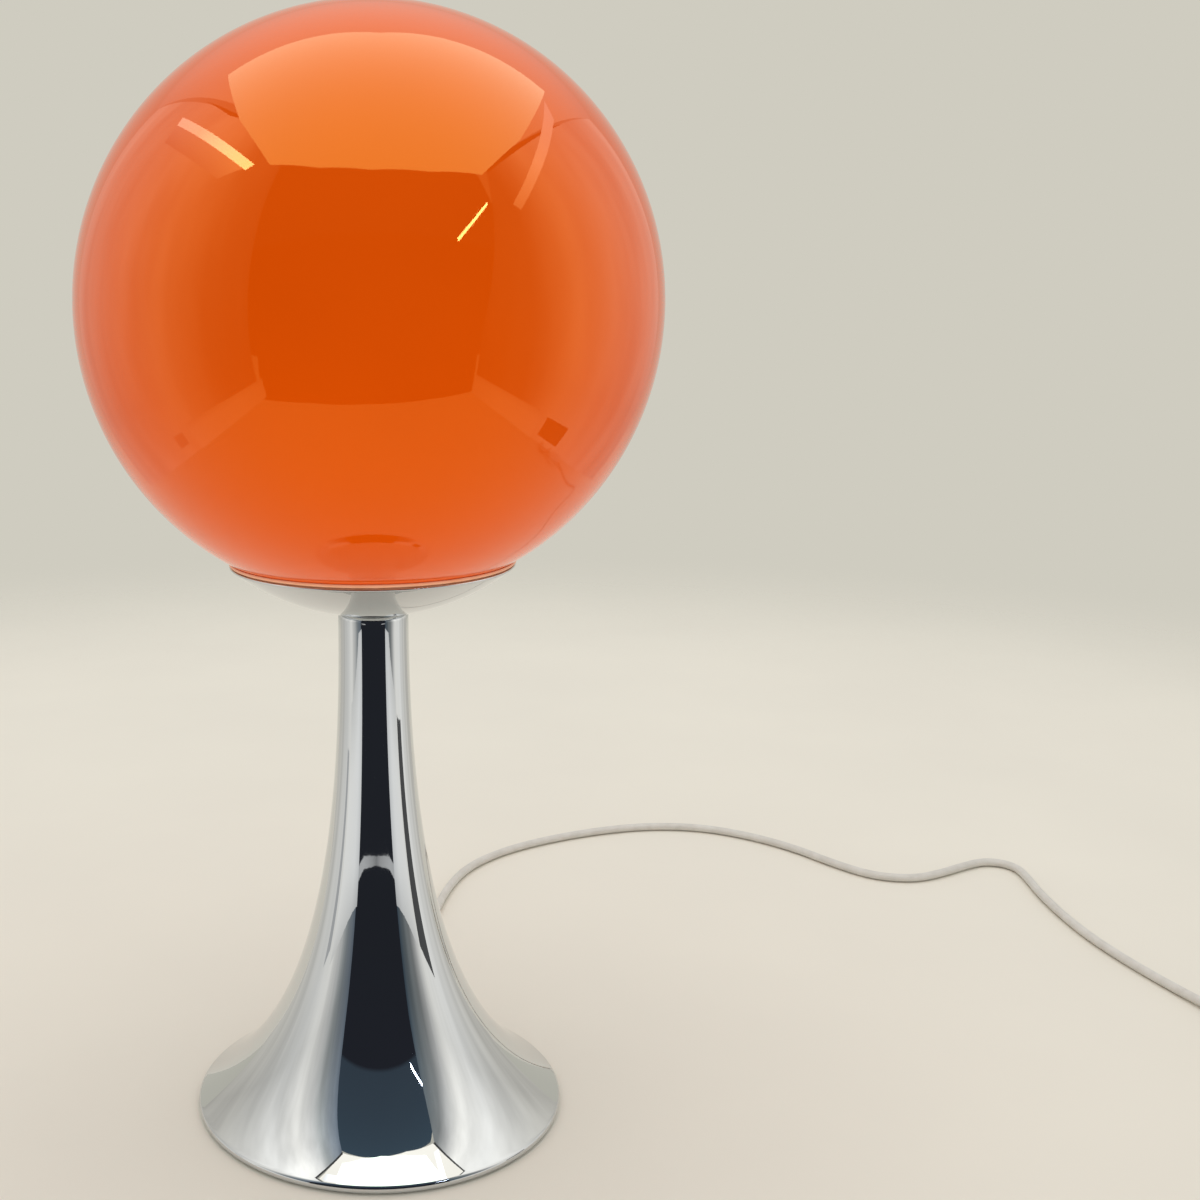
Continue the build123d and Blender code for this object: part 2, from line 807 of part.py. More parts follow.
def make_switch_cover():
    """Upper half of the switch, with the rocker's opening and two cheeks for its pin."""
    block = switch_block(0, switch_split, switch_height)
    block = fillet(block.faces().sort_by(Axis.Z)[-1].edges(), switch_edge)
    roof = switch_height - switch_wall
    lid = block - switch_block(switch_wall, switch_split, roof) - switch_cord_hole()
    for place in switch_screw_places():
        lid += place * pole(switch_post_radius, switch_split, roof)
    half_width, half_length = rocker_window()
    cheek_low = pivot_height - rocker_depth
    cheek = Pos(0, 0, cheek_low) * Box(
        2 * (half_width + cheek_thickness),
        cheek_length,
        roof - cheek_low,
        align=(Align.CENTER, Align.CENTER, Align.MIN),
    )
    lid += cheek
    window = Pos(0, 0, switch_split) * Box(
        2 * half_width,
        2 * half_length,
        switch_height - switch_split,
        align=(Align.CENTER, Align.CENTER, Align.MIN),
    )
    lid -= window
    lid -= Pos(0, 0, pivot_height) * Rot(0, 90, 0) * Cylinder(pin_radius + press_gap, pin_length)
    for place in switch_screw_places():
        lid -= place * pole(switch_screw_radius + screw_gap, switch_split, switch_screw_length + screw_gap)
    return lid


def make_switch_screws():
    """Two small screws from below."""
    screw = pole(switch_screw_radius, 0, switch_screw_length)
    screw += pole(switch_screw_head_radius, 0, switch_screw_head_height)
    return Compound(children=[at_switch(place * screw) for place in switch_screw_places()])


def make_switch_rocker():
    """Rocker with two sloping faces, tilted to its off side."""
    half = rocker_length / 2
    outline = Polyline(
        (-half, -rocker_depth),
        (half, -rocker_depth),
        (half, rocker_shoulder),
        (0, rocker_crown),
        (-half, rocker_shoulder),
        close=True,
    )
    side_plane = Plane.YZ.offset(-rocker_width / 2)
    body = extrude(side_plane * make_face(outline), rocker_width)
    body -= Rot(0, 90, 0) * Cylinder(pin_radius + running_gap, rocker_width)
    return Pos(0, 0, pivot_height) * Rot(-rocker_throw / 2, 0, 0) * body


def make_rocker_pin():
    """Steel pin across the switch."""
    return Pos(0, 0, pivot_height) * Rot(0, 90, 0) * Cylinder(pin_radius, pin_length)


def make_switch_blades():
    """Two brass contact blades on the tray's floor."""
    blade = Box(*blade_size, align=(Align.CENTER, Align.CENTER, Align.MIN))
    x, y = blade_offset
    places = [Pos(-x, y, switch_wall), Pos(x, -y, switch_wall)]
    return Compound(children=[at_switch(place * blade) for place in places])


def at_switch(part):
    """Moves a piece made at the origin to the switch's place on the cord."""
    return Pos(*switch_place, 0) * part


def at_plug(part):
    """Moves a piece made along +Y to the end of the cord."""
    end = tail_points()[-1]
    return Pos(end.X, end.Y, plug_axis_z) * part


def plug_front():
    """Distance from the cord's end to the plug's face."""
    return plug_boot_length + plug_length


def plug_pin_places():
    """The two pins, side by side."""
    return [Pos(side * plug_pin_spacing / 2, 0, 0) for side in (-1, 1)]


def make_plug_body():
    """Flat two-pin plug with a tapered boot."""
    neck, wide = plug_neck_width / 2, plug_width / 2
    shoulder = plug_front() - plug_front_length
    outline = Polyline(
        (-neck, plug_boot_length),
        (neck, plug_boot_length),
        (wide, shoulder),
        (wide, plug_front()),
        (-wide, plug_front()),
        (-wide, shoulder),
        close=True,
    )
    block = extrude(make_face(outline), plug_thickness / 2, both=True)
    block = fillet(block.edges(), plug_edge)
    boot = Cone(
        plug_boot_radius,
        plug_boot_root_radius,
        plug_boot_length + plug_edge,
        align=(Align.CENTER, Align.CENTER, Align.MIN),
    )
    body = block + Rot(-90, 0, 0) * boot
    for place in plug_pin_places():
        hole = bar_along_y(plug_pin_root_radius + press_gap, plug_front() - plug_pin_embed, plug_front(), 0)
        body -= place * hole
    return at_plug(body)


def make_plug_pins():
    """Two round pins with domed ends and slimmer roots in the plug."""
    start = plug_front() - plug_pin_embed
    shoulder = plug_front() + plug_pin_groove
    end = plug_front() + plug_pin_length
    pin = bar_along_y(plug_pin_root_radius, start, shoulder, 0)
    pin += bar_along_y(plug_pin_radius, shoulder, end - plug_pin_radius, 0)
    pin += Pos(0, end - plug_pin_radius, 0) * Sphere(plug_pin_radius)
    return Compound(children=[at_plug(place * pin) for place in plug_pin_places()])


def make_cover_screws():
    """The cover's screws, all alike."""
    return Compound(children=[place * make_cover_screw() for place in cover_screw_places()])


nodes = {
    "trumpet_base": make_trumpet_base(),
    "ballast_weight": make_ballast_weight(),
    "base_cover": make_base_cover(),
    "base_felt": pole(felt_radius, 0, felt_thickness),
    "cover_screws": make_cover_screws(),
    "threaded_tube": ring(tube_bore_radius, tube_radius, tube_low, cap_cavity),
    "lower_nut": make_nut(lower_nut_top - nut_thickness),
    "lower_washer": ring(tube_radius + hole_gap, washer_radius, lower_nut_top, web_low),
    "globe_dish": make_globe_dish(),
    "rim_gasket": make_rim_gasket(),
    "upper_washer": ring(tube_radius + hole_gap, washer_radius, dish_floor, upper_washer_top),
    "upper_nut": make_nut(upper_washer_top),
    "holder_cap": make_holder_cap(),
    "holder_skirt": make_holder_skirt(),
    "holder_insert": make_holder_insert(),
    "thread_shell": make_thread_shell(),
    "centre_contact": make_centre_contact(),
    "terminal_screws": make_terminal_screws(),
    "core_wires": make_core_wires(),
    "inner_flex": make_inner_flex(),
    "cord_gland": make_cord_gland(),
    "glass_globe": make_glass_globe(),
    "bulb_tip": pole(bulb_tip_radius, bulb_tip_z, bulb_tip_z + bulb_tip_height),
    "bulb_insulator": make_bulb_insulator(),
    "bulb_cap": make_bulb_cap(),
    "bulb_glass": make_bulb_glass(),
    "cord_lead": make_free_cord("cord_lead", lead_points()),
    "cord_link": make_free_cord("cord_link", link_points()),
    "cord_coil": make_cord_coil(),
    "cord_tail": make_free_cord("cord_tail", tail_points()),
    "coil_tie": make_coil_tie(),
    "switch_base": at_switch(make_switch_base()),
    "switch_cover": at_switch(make_switch_cover()),
    "switch_rocker": at_switch(make_switch_rocker()),
    "rocker_pin": at_switch(make_rocker_pin()),
    "switch_screws": make_switch_screws(),
    "switch_blades": make_switch_blades(),
    "plug_body": make_plug_body(),
    "plug_pins": make_plug_pins(),
}

os.makedirs("parts", exist_ok=True)
for node, solid in nodes.items():
    export_step(solid, f"parts/{node}.step")
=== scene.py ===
import json
from math import atan2, cos, degrees, pi, radians, sin, sqrt

import bpy
from mathutils import Matrix, Vector


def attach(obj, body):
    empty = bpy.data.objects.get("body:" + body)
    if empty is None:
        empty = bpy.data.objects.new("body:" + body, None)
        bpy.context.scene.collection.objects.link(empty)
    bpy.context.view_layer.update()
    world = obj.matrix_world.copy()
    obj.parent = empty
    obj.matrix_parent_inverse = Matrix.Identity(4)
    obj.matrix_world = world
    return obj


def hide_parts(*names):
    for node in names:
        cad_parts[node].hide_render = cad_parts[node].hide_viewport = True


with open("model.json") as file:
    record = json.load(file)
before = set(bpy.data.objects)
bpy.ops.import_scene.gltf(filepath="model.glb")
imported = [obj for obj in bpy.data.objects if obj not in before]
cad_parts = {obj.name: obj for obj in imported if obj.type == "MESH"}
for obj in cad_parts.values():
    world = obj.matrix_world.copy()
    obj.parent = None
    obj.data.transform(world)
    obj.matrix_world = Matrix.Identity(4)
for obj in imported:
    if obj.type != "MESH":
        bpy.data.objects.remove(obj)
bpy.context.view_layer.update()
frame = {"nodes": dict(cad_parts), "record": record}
scene = bpy.context.scene
scene.view_settings.view_transform = "Standard"
MM = 0.001

# Camera, fitted to the outlines of the globe, dish and foot
camera_place = (0, -0.67246, 0.38)
pan, tilt, roll = 0.00677, 0.20529, -0.01173
sensor_width, focal_length, side_shift, near_clip = 36, 46.23, 0.1806, 0.01
forward = Vector((sin(pan) * cos(tilt), cos(pan) * cos(tilt), -sin(tilt)))
level = Vector((cos(pan), -sin(pan), 0))
upright = level.cross(forward)
right = level * cos(roll) + upright * sin(roll)
up = upright * cos(roll) - level * sin(roll)
camera = bpy.data.objects.new("camera", bpy.data.cameras.new("camera"))
scene.collection.objects.link(camera)
camera.matrix_world = Matrix.Translation(camera_place) @ Matrix((right, up, -forward)).transposed().to_4x4()
camera.data.sensor_width = sensor_width
camera.data.lens = focal_length
camera.data.shift_x = side_shift
camera.data.clip_start = near_clip
scene.camera = camera


# Materials

# Part of a noise field's range over which colour and gloss run
FIELD_LOW, FIELD_HIGH = 0.3, 0.7


def node_material(name):
    """A new material with its node tree, its main shader and an object-space coordinate."""
    made = bpy.data.materials.new(name)
    made.use_nodes = True
    tree = made.node_tree
    shader = tree.nodes["Principled BSDF"]
    place = tree.nodes.new("ShaderNodeTexCoord").outputs["Object"]
    return made, tree, shader, place


def noise(tree, place, scale, detail, stretch=None):
    """A noise field over the surface, stretched along an axis if asked."""
    texture = tree.nodes.new("ShaderNodeTexNoise")
    texture.inputs["Scale"].default_value = scale
    texture.inputs["Detail"].default_value = detail
    if stretch:
        mapping = tree.nodes.new("ShaderNodeMapping")
        mapping.inputs["Scale"].default_value = stretch
        tree.links.new(place, mapping.inputs["Vector"])
        place = mapping.outputs["Vector"]
    tree.links.new(place, texture.inputs["Vector"])
    return texture.outputs["Fac"]


def ramp(tree, value, stops):
    """A colour ramp over a field; stops are (position, colour) pairs."""
    node = tree.nodes.new("ShaderNodeValToRGB")
    while len(node.color_ramp.elements) < len(stops):
        node.color_ramp.elements.new(0.5)
    for element, (position, colour) in zip(node.color_ramp.elements, stops):
        element.position = position
        element.color = (*colour, 1)
    tree.links.new(value, node.inputs["Fac"])
    return node.outputs["Color"]


def spread(tree, value, low, high):
    """Maps a noise field to a range."""
    node = tree.nodes.new("ShaderNodeMapRange")
    node.inputs["From Min"].default_value = FIELD_LOW
    node.inputs["From Max"].default_value = FIELD_HIGH
    node.inputs["To Min"].default_value = low
    node.inputs["To Max"].default_value = high
    tree.links.new(value, node.inputs["Value"])
    return node.outputs["Result"]


def bump(tree, shader, value, depth):
    """Raises the surface by a field, with its depth in metres."""
    node = tree.nodes.new("ShaderNodeBump")
    node.inputs["Distance"].default_value = depth
    node.inputs["Strength"].default_value = 1.0
    tree.links.new(value, node.inputs["Height"])
    tree.links.new(node.outputs["Normal"], shader.inputs["Normal"])


def surface(name, dark, light, rough, scale, depth, bump_scale, stretch=None, **sockets):
    """A material whose colour, gloss and relief vary over the surface."""
    made, tree, shader, place = node_material(name)
    field = noise(tree, place, scale, 4.0, stretch)
    tree.links.new(ramp(tree, field, [(FIELD_LOW, dark), (FIELD_HIGH, light)]), shader.inputs["Base Color"])
    tree.links.new(spread(tree, field, *rough), shader.inputs["Roughness"])
    bump(tree, shader, noise(tree, place, bump_scale, 5.0, stretch), depth)
    for socket, value in sockets.items():
        shader.inputs[socket.replace("_", " ")].default_value = value
    return made


chrome = surface(
    "chrome", (0.62, 0.64, 0.65), (0.66, 0.68, 0.69), (0.010, 0.030), 14, 0.00001, 60, Metallic=1.0
)
orange_glass = surface(
    "orange_glass", (0.83, 0.090, 0.001), (0.87, 0.098, 0.001), (0.015, 0.035), 9, 0.00002, 22,
    IOR=1.55, Specular_IOR_Level=1.0, Specular_Tint=(1.0, 0.5, 0.10, 1.0),
)
opal_glass = surface(
    "opal_glass", (0.83, 0.82, 0.78), (0.88, 0.87, 0.83), (0.10, 0.18), 20, 0.00002, 60, IOR=1.5
)
pale_rubber = surface(
    "pale_rubber", (0.90, 0.40, 0.21), (0.95, 0.47, 0.28), (0.35, 0.5), 200, 0.00005, 1500
)
felt = surface(
    "felt", (0.015, 0.05, 0.03), (0.05, 0.11, 0.07), (0.9, 1.0), 900, 0.0006, 2500, Sheen_Weight=0.3
)
cast_iron = surface(
    "cast_iron", (0.10, 0.10, 0.11), (0.19, 0.19, 0.20), (0.55, 0.8), 120, 0.0004, 700, Metallic=0.8
)
steel = surface(
    "steel", (0.50, 0.51, 0.53), (0.66, 0.67, 0.69), (0.22, 0.38), 90, 0.00004, 900, (1, 1, 8), Metallic=1.0
)
holder_plastic = surface(
    "holder_plastic", (0.030, 0.024, 0.022), (0.055, 0.045, 0.040), (0.18, 0.32), 60, 0.00005, 900
)
porcelain = surface(
    "porcelain", (0.80, 0.79, 0.74), (0.88, 0.87, 0.83), (0.08, 0.16), 80, 0.00005, 500, Coat_Weight=0.6
)
brass = surface(
    "brass", (0.62, 0.45, 0.17), (0.80, 0.62, 0.29), (0.20, 0.36), 120, 0.00004, 900, Metallic=1.0
)
core_insulation = surface(
    "core_insulation", (0.16, 0.09, 0.04), (0.24, 0.14, 0.07), (0.35, 0.5), 300, 0.00005, 1500
)
cord_sheath = surface(
    "cord_sheath", (0.61, 0.59, 0.54), (0.69, 0.67, 0.62), (0.40, 0.55), 150, 0.00006, 1400
)
gland_rubber = surface(
    "gland_rubber", (0.72, 0.71, 0.69), (0.80, 0.79, 0.77), (0.5, 0.65), 200, 0.0001, 1600
)
tie_plastic = surface(
    "tie_plastic", (0.05, 0.05, 0.05), (0.09, 0.09, 0.09), (0.4, 0.6), 200, 0.0001, 1500
)
bulb_metal = surface(
    "bulb_metal", (0.60, 0.60, 0.60), (0.76, 0.76, 0.75), (0.25, 0.4), 120, 0.00004, 900, (1, 1, 6),
    Metallic=1.0,
)
vitrite = surface(
    "vitrite", (0.020, 0.014, 0.026), (0.045, 0.035, 0.055), (0.08, 0.2), 200, 0.00005, 900
)
white_plastic = surface(
    "white_plastic", (0.74, 0.74, 0.71), (0.82, 0.82, 0.79), (0.28, 0.42), 90, 0.00006, 1600
)

finish = {
    "orange_glass": orange_glass,
    "chromed_steel": chrome,
    "pale_rubber": pale_rubber,
    "felt": felt,
    "iron": cast_iron,
    "steel": steel,
    "holder_plastic": holder_plastic,
    "porcelain": porcelain,
    "brass": brass,
    "core_insulation": core_insulation,
    "cord_sheath": cord_sheath,
    "gland_rubber": gland_rubber,
    "tie_plastic": tie_plastic,
    "bulb_opal": opal_glass,
    "bulb_metal": bulb_metal,
    "bulb_vitrite": vitrite,
    "switch_plastic": white_plastic,
}
for part in frame["record"]["subparts"]:
    for slot in frame["nodes"][part["node"]].material_slots:
        slot.material = finish[part["material_slot"]]


# Cords, laid along the same points as their solids, in millimetres

cord_radius = 2.5
coil_start, coil_low, coil_pitch, half_turn_steps = (440.0, -82.0), 3.5, 5.6, 12
inward_radii, climbing_radius = [33.1, 30.3, 27.5, 24.7], 21.9


def cord_piece(name, points, nodes):
    """A round cord along a smooth line through millimetre points."""
    curve = bpy.data.curves.new(name, "CURVE")
    curve.dimensions = "3D"
    spline = curve.splines.new("NURBS")
    spline.points.add(len(points) - 1)
    for target, (x, y, z) in zip(spline.points, points):
        target.co = (x * MM, y * MM, z * MM, 1)
    spline.order_u = 3
    spline.use_endpoint_u = True
    spline.resolution_u = 8
    curve.bevel_depth = cord_radius * MM
    curve.bevel_resolution = 5
    curve.use_fill_caps = True
    curve.materials.append(cord_sheath)
    piece = bpy.data.objects.new(name, curve)
    scene.collection.objects.link(piece)
    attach(piece, "stand")
    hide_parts(*nodes)
    return piece


def coil_points():
    """Points round each half turn: in on the lower layer, a climbing half turn, out on the upper layer."""
    (x, y), z, side = coil_start, coil_low, 1
    points = []
    for radius in [*inward_radii, climbing_radius, *reversed(inward_radii)]:
        climb = coil_pitch if radius == climbing_radius else 0.0
        middle = x + side * radius
        for step in range(half_turn_steps):
            angle = pi * step / half_turn_steps
            height = z + climb * step / half_turn_steps
            points.append((middle - side * radius * cos(angle), y - side * radius * sin(angle), height))
        x, z, side = x + side * 2 * radius, z + climb, -side
    return [*points, (x, y, z)]


lead_points = [
    (18.3, 115.5, 12.0), (20.6, 130.3, 12.0),
    (23.4, 146.5, 7.2), (27.0, 167.5, 3.5), (31.2, 190.0, 2.5), (36.8, 214.0, 2.5), (43.8, 241.0, 2.5),
    (54.0, 268.0, 2.5), (69.0, 291.0, 2.5), (91.0, 311.5, 2.5), (119.0, 328.5, 2.5), (153.0, 343.0, 2.5),
    (190.0, 351.5, 2.5), (226.0, 347.5, 2.5), (256.0, 330.0, 2.5), (281.0, 305.0, 2.5), (299.0, 276.5, 2.5),
    (318.0, 254.0, 2.5), (342.0, 248.5, 2.5), (362.0, 257.0, 2.5), (380.0, 268.0, 2.5), (396.0, 276.0, 2.5),
    (407.4, 273.4, 2.5), (414.4, 264.0, 2.5), (413.8, 246.0, 2.5), (411.0, 220.0, 2.5), (410.5, 189.0, 2.5),
    (412.5, 157.0, 2.5), (418.5, 125.0, 2.5), (426.5, 95.0, 2.5), (434.0, 69.0, 3.2), (438.0, 51.0, 5.6),
    (440.0, 34.5, 7.5), (440.0, 19.5, 7.5),
]
spare_points = [
    (440.0, -39.5, 7.5), (440.0, -52.0, 7.5), (440.0, -64.5, 3.5), (440.0, -77.0, 3.5),
    *coil_points(),
    (506.2, -77.0, 9.1), (506.2, -62.0, 9.1), (506.2, -47.0, 6.85), (506.2, -32.0, 6.85),
]
lead = cord_piece("mains_cord", lead_points, ["cord_lead"])
spare = cord_piece("spare_cord", spare_points, ["cord_link", "cord_coil", "cord_tail"])


# Turned pieces, from outlines of (radius, height) points in millimetres

turned_sides = 256
tube_hole = 5.2


def lathe(name, outline, nodes, body, materials, inner_from=None):
    """Turns an outline about the axis into a smooth mesh; rings from inner_from on take the second material."""
    points, rings = [], []
    for radius, height in outline:
        if radius == 0:
            rings.append([len(points)])
            points.append((0, 0, height * MM))
            continue
        rings.append(list(range(len(points), len(points) + turned_sides)))
        for step in range(turned_sides):
            angle = 2 * pi * step / turned_sides
            points.append((radius * cos(angle) * MM, radius * sin(angle) * MM, height * MM))
    faces, slots = [], []
    for index, (low, high) in enumerate(zip(rings, rings[1:] + rings[:1])):
        if len(low) == 1 and len(high) == 1:
            continue
        for step in range(turned_sides):
            following = (step + 1) % turned_sides
            corners = [
                low[step % len(low)], high[step % len(high)],
                high[following % len(high)], low[following % len(low)],
            ]
            faces.append(list(dict.fromkeys(corners)))
            slots.append(1 if inner_from is not None and index >= inner_from else 0)
    mesh = bpy.data.meshes.new(name)
    mesh.from_pydata(points, [], faces)
    mesh.polygons.foreach_set("use_smooth", [True] * len(faces))
    mesh.polygons.foreach_set("material_index", slots)
    for item in materials:
        mesh.materials.append(item)
    mesh.update()
    piece = bpy.data.objects.new(name, mesh)
    scene.collection.objects.link(piece)
    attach(piece, body)
    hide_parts(*nodes)
    return piece


def arc(centre, radius, start, end, count):
    """Points of an arc, with angles in degrees from the outward direction."""
    angles = [radians(start + (end - start) * step / count) for step in range(count + 1)]
    return [(centre[0] + radius * cos(angle), centre[1] + radius * sin(angle)) for angle in angles]


def angle_at_reach(radius, reach):
    """Angle on a circle's lower half, at a distance from the axis."""
    return degrees(atan2(-sqrt(radius**2 - reach**2), reach))


def angle_at_depth(radius, depth):
    """Angle on a circle's lower half, at a depth below its centre."""
    return degrees(atan2(-depth, sqrt(radius**2 - depth**2)))


def bezier(poles, count):
    """Points of a cubic curve."""
    points = []
    for step in range(count + 1):
        t = step / count
        weights = ((1 - t) ** 3, 3 * (1 - t) ** 2 * t, 3 * (1 - t) * t * t, t**3)
        points.append(tuple(sum(w * pole[axis] for w, pole in zip(weights, poles)) for axis in (0, 1)))
    return points


# Trumpet foot
stem_height, stem_radius, shoulder, wall = 235.6, 15.75, 3.0, 1.2
slope_degrees, hem, hem_centre = 32.8, 2.2, (83.3, 2.5)
stem_pull, foot_pull, horn_steps = 162.2, 39.8, 110
slope = radians(slope_degrees)


def horn(inset):
    """The trumpet's curve, set in from its outer face and ended on the rolled edge."""
    back = sqrt(hem**2 - (hem - inset) ** 2)
    foot = (
        hem_centre[0] + (hem - inset) * sin(slope) - back * cos(slope),
        hem_centre[1] + (hem - inset) * cos(slope) + back * sin(slope),
    )
    pull = foot_pull - back
    top = (stem_radius - inset, stem_height - shoulder)
    return bezier(
        [top, (top[0], top[1] - stem_pull), (foot[0] - pull * cos(slope), foot[1] + pull * sin(slope)), foot],
        horn_steps,
    )


bend = (stem_radius - shoulder, stem_height - shoulder)
inner_horn = horn(wall)
hem_end = degrees(atan2(inner_horn[-1][1] - hem_centre[1], inner_horn[-1][0] - hem_centre[0])) - 360
trumpet_outline = [
    (tube_hole, stem_height),
    *arc(bend, shoulder, 90, 0, 10)[:-1],
    *horn(0)[:-1],
    *arc(hem_centre, hem, 90 - slope_degrees, hem_end, 40)[:-1],
    *reversed(inner_horn),
    *arc(bend, shoulder - wall, 0, 90, 6)[1:],
    (tube_hole, stem_height - wall),
]
trumpet = lathe("trumpet", trumpet_outline, ["trumpet_base"], "stand", [chrome])

# Dish; the rim's corners are rounded by its bevel, and each face ends a little short of the rim
dish_radius, dish_seat, dish_rim, dish_wall = 101.3, 15.0, 63.6, 0.9
rim_bevel, face_short, bevel_short, floor_share = 0.25, 0.2, 0.03, 0.985
dish_centre = (0, stem_height + sqrt(dish_radius**2 - dish_seat**2))
rim_angle = angle_at_reach(dish_radius, dish_rim)
seat_angle = angle_at_reach(dish_radius, dish_seat)
floor_angle = -90 + (90 + seat_angle) * floor_share
bevel_angle = rim_angle - bevel_short
dish_outline = [
    (tube_hole, stem_height),
    *arc(dish_centre, dish_radius, seat_angle, rim_angle - face_short, 40),
    arc(dish_centre, dish_radius - rim_bevel, bevel_angle, bevel_angle, 1)[0],
    arc(dish_centre, dish_radius - dish_wall + rim_bevel, bevel_angle, bevel_angle, 1)[0],
    *arc(dish_centre, dish_radius - dish_wall, rim_angle - face_short, floor_angle, 40),
    (tube_hole, stem_height + dish_wall),
]
dish = lathe("dish", dish_outline, ["globe_dish"], "stand", [chrome])

# Globe, with a rounded lip round its mouth
globe_centre, globe_radius, globe_wall, mouth_radius, lip_steps = (0, 367.4), 125.0, 3.0, 50.0, 8
mouth_angle = angle_at_reach(globe_radius, mouth_radius)
outer_glass = arc(globe_centre, globe_radius, mouth_angle, 90, 110)
inner_glass = arc(globe_centre, globe_radius - globe_wall, 90, mouth_angle, 70)
lip_outer, lip_inner = Vector((*outer_glass[0], 0)), Vector((*inner_glass[-1], 0))
lip_middle, lip_spoke = (lip_outer + lip_inner) / 2, (lip_outer - lip_inner) / 2
lip_bulge = Vector((lip_spoke.y, -lip_spoke.x, 0))
if lip_bulge.x > 0:
    lip_bulge = -lip_bulge
lip_angles = [pi * step / lip_steps for step in range(1, lip_steps)]
lip = [lip_middle - lip_spoke * cos(angle) + lip_bulge * sin(angle) for angle in lip_angles]
globe_outline = [
    *outer_glass[:-1], (0, globe_centre[1] + globe_radius),
    (0, globe_centre[1] + globe_radius - globe_wall), *inner_glass[1:],
    *[(point.x, point.y) for point in lip],
]
globe = lathe(
    "globe", globe_outline, ["glass_globe"], "globe", [orange_glass, opal_glass], inner_from=len(outer_glass)
)

# Soft ring in the dish: a skirt along the dish, a groove over the rim and a lip that follows the glass
ring_outer, ring_inner, lip_radius = 100.35, 98.85, globe_radius + 0.08
ring_depth, skirt_top_depth, inner_top_depth = 83.85, 78.8, 77.75
lip_reach_in, lip_reach_out = 61.0, 63.3
groove = [(62.2, 258.0), (63.35, 258.15), (63.5, 258.3), (63.55, 259.4)]
skirt_low, skirt_high = angle_at_depth(ring_outer, ring_depth), angle_at_depth(ring_outer, skirt_top_depth)
inner_low, inner_high = angle_at_depth(ring_inner, ring_depth), angle_at_depth(ring_inner, inner_top_depth)
lip_start, lip_end = angle_at_reach(lip_radius, lip_reach_out), angle_at_reach(lip_radius, lip_reach_in)
ring_outline = [
    *arc(dish_centre, ring_outer, skirt_low, skirt_high, 12),
    *groove,
    *arc(globe_centre, lip_radius, lip_start, lip_end, 6),
    *arc(dish_centre, ring_inner, inner_high, inner_low, 12),
]
ring = lathe("ring", ring_outline, ["rim_gasket"], "stand", [pale_rubber])


# Studio

def stage_mesh(name, corners, material, reflection_only=False):
    """A flat stage piece from its corners in metres."""
    mesh = bpy.data.meshes.new(name)
    mesh.from_pydata(corners, [], [list(range(len(corners)))])
    mesh.materials.append(material)
    piece = bpy.data.objects.new(name, mesh)
    scene.collection.objects.link(piece)
    piece.visible_camera = not reflection_only
    piece.visible_diffuse = not reflection_only
    piece.visible_shadow = not reflection_only


def tent(name, corners, material):
    """A piece of the tent round the table, which only shows in reflections."""
    stage_mesh(name, corners, material, reflection_only=True)


def at_x(x, *places):
    """Corners on an upright plane beside the lamp, from (y, z) places."""
    return [(x, y, z) for y, z in places]


def at_y(y, *places):
    """Corners on an upright plane in front of the lamp, from (x, z) places."""
    return [(x, y, z) for x, z in places]


def at_z(z, *places):
    """Corners on a level plane, from (x, y) places."""
    return [(x, y, z) for x, y in places]


def along(tree, split, axis, stops):
    """A colour that runs along an axis of the scene; stops are (metres, colour) pairs."""
    low, high = stops[0][0], stops[-1][0]
    scale = tree.nodes.new("ShaderNodeMapRange")
    scale.inputs["From Min"].default_value = low
    scale.inputs["From Max"].default_value = high
    tree.links.new(split.outputs[axis], scale.inputs["Value"])
    return ramp(tree, scale.outputs["Result"], [((at - low) / (high - low), tint) for at, tint in stops])


def glow(name, strength, axis, stops, second_axis=None, second_stops=None, wrinkle=0.0):
    """A bright panel whose colour runs along one or two axes, with upright wrinkles if asked."""
    made = bpy.data.materials.new(name)
    made.use_nodes = True
    tree = made.node_tree
    tree.nodes.remove(tree.nodes["Principled BSDF"])
    place = tree.nodes.new("ShaderNodeTexCoord").outputs["Object"]
    split = tree.nodes.new("ShaderNodeSeparateXYZ")
    tree.links.new(place, split.inputs["Vector"])
    colour = along(tree, split, axis, stops)
    if second_stops:
        product = tree.nodes.new("ShaderNodeMix")
        product.data_type = "RGBA"
        product.blend_type = "MULTIPLY"
        product.inputs["Factor"].default_value = 1
        tree.links.new(colour, product.inputs["A"])
        tree.links.new(along(tree, split, second_axis, second_stops), product.inputs["B"])
        colour = product.outputs["Result"]
    emission = tree.nodes.new("ShaderNodeEmission")
    folds = noise(tree, place, 9, 3.0, (1, 1, 0.25))
    tree.links.new(
        spread(tree, folds, strength * (1 - wrinkle), strength * (1 + wrinkle)), emission.inputs["Strength"]
    )
    tree.links.new(colour, emission.inputs["Color"])
    tree.links.new(emission.outputs["Emission"], tree.nodes["Material Output"].inputs["Surface"])
    return made


def grey(level, blue=1.0):
    """A grey, with its blue share turned up or down."""
    return (level, level * (2 + blue) / 3, level * blue)


